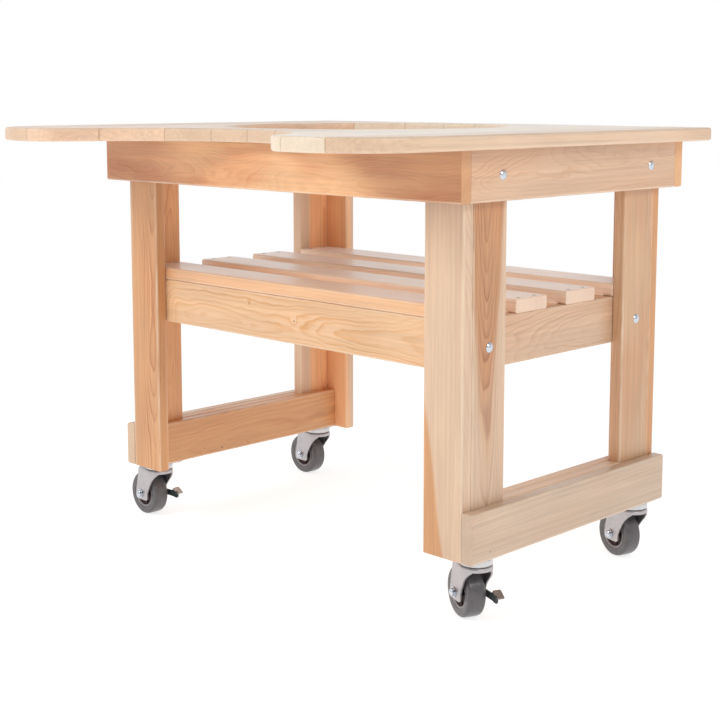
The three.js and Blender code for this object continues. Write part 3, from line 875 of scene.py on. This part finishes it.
# Places across the lever, and how far its outline is drawn in there, which is measured at LEVER_RING
# upwards and at LEVER_MIDDLE forwards.
LEVER_LEVELS = ((0.0, 0.3), (0.4, 0.0), (LEVER_THICK - 0.4, 0.0), (LEVER_THICK, 0.3))
LEVER_MIDDLE = 20.0
LEVER_ARM = [(14.0, -6.4), (40.0, -5.6), (54.0, -5.4), (61.0, -6.4), (66.0, -6.0), (69.5, -3.0),
             (70.0, 1.6), (67.5, 5.6), (62.0, 8.0), (52.0, 10.0), (44.0, 7.2), (14.0, 6.4)]
PEDAL_HALF = (10.0, 8.0)
PEDAL_CORNER = 2.0
PEDAL_SLOPE = 30.0
PEDAL_AT = (60.0, 8.0, 7.5)
PEDAL_LEVELS = ((-1.5, 0.5), (-1.0, 0.0), (1.0, 0.0), (1.5, 0.5))


class Caster:
    """Makes the pieces of one caster. Local x points forwards, away from the trailing wheel."""

    def __init__(self, name, x, y, turn_degrees, braked):
        self.name, self.x, self.y, self.braked = name, x, y + FRAME_BACK, braked
        self.turn = Matrix.Rotation(math.radians(turn_degrees), 3, "Z")

    def place(self, point):
        return self.turn @ Vector(point) + Vector((self.x, self.y, 0))

    def local(self, label, form, material, body, smooth, replaces=()):
        points, faces = form
        placed = [self.place(point) for point in points]
        make(f"{label}_{self.name}", (placed, faces), material, f"{body}_{self.name}",
             smooth=smooth, replaces=replaces)

    def spun(self, label, profile, material, body, sides=64, smooth=SOFT, replaces=(),
             hollow=False):
        """Turned about the axle, with heights across the caster."""
        centre = self.place((-TRAIL, 0, AXLE_Z))
        axis = self.turn @ Vector((0, 1, 0))
        turned(f"{label}_{self.name}", profile, centre, axis, material, f"{body}_{self.name}",
               sides, smooth, replaces, hollow)

    def upright(self, label, profile, material, sides, place=(0, 0, 0), way=1, end="", replaces=()):
        """Turned about an upright line through a place measured from the kingpin and the floor."""
        spot = (self.x + place[0], self.y + place[1], place[2])
        turned(f"{label}_{self.name}{end}", profile, spot, (0, 0, way), material, "table", sides,
               replaces=replaces)

    def plate(self):
        node = "caster_plate_" + self.name
        rings = [[(a + self.x, b + self.y, z) for a, b in rounded(*PLATE_HALF, PLATE_CORNER, inset)]
                 for z, inset in ((LEG_BOTTOM, 0.0), (PLATE_BOTTOM + 0.6, 0.0), (PLATE_BOTTOM, 0.6))]
        make(f"plate_{self.name}", loft(rings), ZINC, "table", replaces=[node])
        self.upright("drum", DRUM_PROFILE, DRUM, sides=56, replaces=[node])
        self.upright("kingpin", PIN_PROFILE, ZINC, sides=24, replaces=[node])
        for end, sx in (("l", -1), ("r", 1)):
            for side, sy in (("f", -1), ("b", 1)):
                place = (sx * PLATE_SCREWS[0], sy * PLATE_SCREWS[1], PLATE_BOTTOM)
                self.upright("plate_screw", PLATE_SCREW, CHROME, 20, place, -1, f"_{end}{side}")

    def fork(self):
        """A pressed crown, and two cheeks that flare out to meet it."""
        node = "caster_fork_" + self.name
        rings = [[(x, y, z) for x, y in crown_outline(d)] for z, d in CROWN_LEVELS]
        self.local("crown", loft(rings), ZINC, "swivel", FORK_SOFT, [node])
        for label, side in (("near", -1), ("far", 1)):
            self.cheek(label, side, node)

    def cheek_range(self, z):
        """Back and front edge of a fork cheek at one height."""
        if z < AXLE_Z:
            low = max(AXLE_Z - z - TOE_DROP + TOE_CORNER, 0.0)
            inset = TOE_CORNER - arc(TOE_CORNER, low)
            return CHEEK_BACK + inset, CHEEK_LIP - inset
        s = min((z - AXLE_Z) / (CROWN_BOTTOM - AXLE_Z), 1.0)
        front = CHEEK_LIP + (CHEEK_FRONT - CHEEK_LIP) * s ** CHEEK_CURVE
        return CHEEK_BACK + (CROWN_BACK - CHEEK_BACK) * s, front

    def cheek(self, label, side, node):
        """A curved sheet, as a grid of points outside and one inside with faces between their rims."""
        heights = [AXLE_Z - TOE_DROP * math.cos(math.pi / 2 * i / TOE_ROWS) for i in range(TOE_ROWS + 1)]
        heights += [AXLE_Z + (CHEEK_TOP - AXLE_Z) * i / CHEEK_ROWS for i in range(1, CHEEK_ROWS + 1)]
        outside, inside = [], []
        for z in heights:
            back, front = self.cheek_range(z)
            flare = min(max((z - FLARE_FROM) / (FLARE_TO - FLARE_FROM), 0.0), 1.0)
            flare = flare * flare * (3 - 2 * flare)
            for i in range(CHEEK_COLUMNS + 1):
                x = back + (front - back) * i / CHEEK_COLUMNS
                y = CHEEK_OUT + (crown_side(x) - CHEEK_TUCK - CHEEK_OUT) * flare
                outside.append((x, side * y, z))
                inside.append((x, side * (y - CHEEK_THICK), z))
        half, wide, rows = len(outside), CHEEK_COLUMNS + 1, len(heights)
        faces = []
        for r in range(rows - 1):
            for c in range(CHEEK_COLUMNS):
                a, b = r * wide + c, (r + 1) * wide + c
                faces.append((a, a + 1, b + 1, b))
                faces.append((half + a, half + b, half + b + 1, half + a + 1))
            for c in (0, CHEEK_COLUMNS):
                a, b = r * wide + c, (r + 1) * wide + c
                faces.append((a, b, half + b, half + a))
        for r in (0, rows - 1):
            for c in range(CHEEK_COLUMNS):
                a = r * wide + c
                faces.append((a, a + 1, half + a + 1, half + a))
        form = outside + inside, faces
        self.local("cheek_" + label, form, ZINC, "swivel", FORK_SOFT, [node])

    def wheel(self):
        tyre, hub = ["caster_tyre_" + self.name], ["caster_hub_" + self.name]
        self.spun("tyre", TYRE_PROFILE, RUBBER, "wheel", 72, replaces=tyre, hollow=True)
        self.spun("rim", RIM_PROFILE, RIM, "wheel", replaces=hub, hollow=True)
        self.spun("hub", HUB_PROFILE, HUB, "wheel", replaces=hub, hollow=True)
        self.ribs()

    def ribs(self):
        """Low ribs on each face of the hub."""
        points, faces = [], []
        for face in (-1, 1):
            for i in range(RIBS):
                turn = Matrix.Rotation(2 * math.pi * i / RIBS, 3, "Y")
                start = len(points)
                for across, half in RIB_STEPS:
                    for radius, way in ((RIB_FROM, 1), (RIB_TO, 1), (RIB_TO, -1), (RIB_FROM, -1)):
                        p = turn @ Vector((radius, 0, half * way))
                        points.append((p.x - TRAIL, face * across, p.z + AXLE_Z))
                for a, b in ((0, 1), (1, 2), (2, 3), (3, 0)):
                    faces.append((start + a, start + b, start + 4 + b, start + 4 + a))
                faces.append((start, start + 3, start + 2, start + 1))
                faces.append((start + 4, start + 5, start + 6, start + 7))
        self.local("hub_ribs", (points, faces), HUB, "wheel", 0.0)

    def axle(self):
        """Bolt through fork and wheel. On a braked caster it also goes through the lever's ring."""
        extra = LEVER_THICK + FIT if self.braked else 0.0
        end = SHANK_END + extra
        shank = [(THIN, -SHANK_END), (3.2, -SHANK_END), (4.0, 0.8 - SHANK_END), (4.0, end - 1.0),
                 (3.2, end), (THIN, end)]
        self.spun("axle", shank, ZINC, "swivel", 24, replaces=["caster_axle_" + self.name])
        self.spun("axle_head", HEAD_PROFILE, CHROME, "swivel", sides=32, smooth=30.0)
        far = CHEEK_OUT + FIT + extra
        nut = [(THIN, far), (7.4, far), (7.4, far + 4.6), (6.6, far + 5.4), (THIN, far + 5.4)]
        self.spun("axle_nut", nut, CHROME, "swivel", sides=6, smooth=0.0)

    def lever(self):
        """Ring, arm and sloping pedal of the wheel brake."""
        node = "brake_lever_" + self.name
        inner = CHEEK_OUT + FIT
        outline = []
        for i in range(RING_STEPS + 1):
            angle = math.radians(RING_FROM + RING_SWEEP * i / RING_STEPS)
            outline.append((LEVER_RING * math.cos(angle), LEVER_RING * math.sin(angle)))
        outline += LEVER_ARM
        rings = []
        for across, inset in LEVER_LEVELS:
            narrow, low = 1 - inset / LEVER_MIDDLE, 1 - inset / LEVER_RING
            rings.append([(x * narrow - TRAIL, inner + across, z * low + AXLE_Z) for x, z in outline])
        self.local("lever_arm", loft(rings), GREEN, "lever", 0.0, [node])
        slope = Matrix.Rotation(math.radians(PEDAL_SLOPE), 3, "Y")
        middle = Vector((-TRAIL, inner, AXLE_Z)) + Vector(PEDAL_AT)
        rings = []
        for z, inset in PEDAL_LEVELS:
            outline = rounded(*PEDAL_HALF, PEDAL_CORNER, inset)
            rings.append([slope @ Vector((a, b, z)) + middle for a, b in outline])
        # Right pedals carry the painted reflection of the wood.
        metal = BRIGHT_PEDAL if self.name.endswith("left") else PEDAL_WOOD_REFLECTION
        self.local("lever_pedal", loft(rings), metal, "lever", 0.0, [node])

    def build(self):
        self.plate()
        self.fork()
        self.wheel()
        self.axle()
        if self.braked:
            self.lever()


# Name, place from the middle of the frame, turn in degrees, and whether it has a brake.
CASTERS = (("front_left", -450, -235, -2, True), ("front_right", 450, -235, -24, True),
           ("back_left", -450, 242, -2, False), ("back_right", 450, 242, -17, False))


# Studio, in metres
FLOOR_HALF = 12.0
FLOOR_GREY = 0.50
FLOOR_GLOW = 0.735
DARK_SIDE = (0.70, -0.71, 0.0)
# Name, place, target, size and power of each light.
LIGHTS = (("key", (-0.9, -2.7, 2.5), (0, 0, 0.7), (1.6, 1.0), 41),
          ("side", (2.9, -0.6, 2.2), (0, 0, 0.6), (1.3, 1.0), 26))
# The camera was fitted to the photograph: its place and angles, and in pixels the width of its picture, its
# focal length and the row that it looks straight at.
CAMERA_PLACE = (1.96769, -1.93623, 0.91276)
CAMERA_AZIMUTH = math.radians(44.72)
CAMERA_ELEVATION = math.radians(7.40)
PICTURE = 720.0
FOCAL = 1408.45
AHEAD_ROW = 277.99
SENSOR = 36.0
FAR_CLIP = 60.0


def build_floor():
    floor, _, shader = new_material("studio_floor")
    shader["Base Color"].default_value = (FLOOR_GREY, FLOOR_GREY, FLOOR_GREY, 1)
    shader["Roughness"].default_value = 0.9
    shader["Specular IOR Level"].default_value = 0.0
    shader["Emission Color"].default_value = (1, 1, 1, 1)
    shader["Emission Strength"].default_value = FLOOR_GLOW
    mesh = bpy.data.meshes.new("floor")
    corners = [(x * FLOOR_HALF, y * FLOOR_HALF, 0) for x, y in ((-1, -1), (1, -1), (1, 1), (-1, 1))]
    mesh.from_pydata(corners, [], [(0, 1, 2, 3)])
    mesh.materials.append(floor)
    piece = add_object("floor", mesh)


def build_world():
    """White all round, but darker high up in front of the table's near corner, and overhead."""
    world = bpy.data.worlds.new("studio")
    world.use_nodes = True
    bpy.context.scene.world = world
    t = Tree(world.node_tree)
    direction = t.node("TexCoord").outputs["Generated"]
    rise = t.vector("DOT_PRODUCT", direction, (0.0, 0.0, 1.0))
    dark = t.spread(t.vector("DOT_PRODUCT", direction, DARK_SIDE), 0.15, 0.85, 0.0, 0.84)
    side = t.math("SUBTRACT", 1.0, t.math("MULTIPLY", dark, t.spread(rise, 0.08, 0.22)))
    above = t.spread(rise, 0.20, 0.80, 1.0, 0.50)
    background = world.node_tree.nodes["Background"].inputs
    t.feed(background["Strength"], t.math("MULTIPLY", side, above))
    background["Color"].default_value = (1.0, 1.0, 1.0, 1)
    bpy.context.scene.view_settings.view_transform = "Standard"


def aim(thing, place, forwards):
    """Puts a light or camera at a place, facing forwards with its top up."""
    thing.location = place
    thing.rotation_mode = "QUATERNION"
    thing.rotation_quaternion = forwards.to_track_quat("-Z", "Y")


def area_light(name, place, target, size, power):
    data = bpy.data.lights.new(name, "AREA")
    data.shape = "RECTANGLE"
    data.size, data.size_y = size
    data.energy = power
    aim(add_object(name, data), place, Vector(target) - Vector(place))


def build_camera():
    data = bpy.data.cameras.new("camera")
    data.sensor_width = SENSOR
    data.lens = SENSOR * FOCAL / PICTURE
    data.shift_y = (AHEAD_ROW - PICTURE / 2) / PICTURE
    data.clip_end = FAR_CLIP
    camera = add_object("camera", data)
    level = math.cos(CAMERA_ELEVATION)
    x, y = -math.sin(CAMERA_AZIMUTH) * level, math.cos(CAMERA_AZIMUTH) * level
    aim(camera, CAMERA_PLACE, Vector((x, y, -math.sin(CAMERA_ELEVATION))))
    bpy.context.scene.camera = camera


build_floor()
build_world()
for light in LIGHTS:
    area_light(*light)
build_camera()
build_frame()
build_foot_beams()
build_top()
build_bolts()
build_slat_screws()
for caster in CASTERS:
    Caster(*caster).build()

bpy.context.view_layer.update()
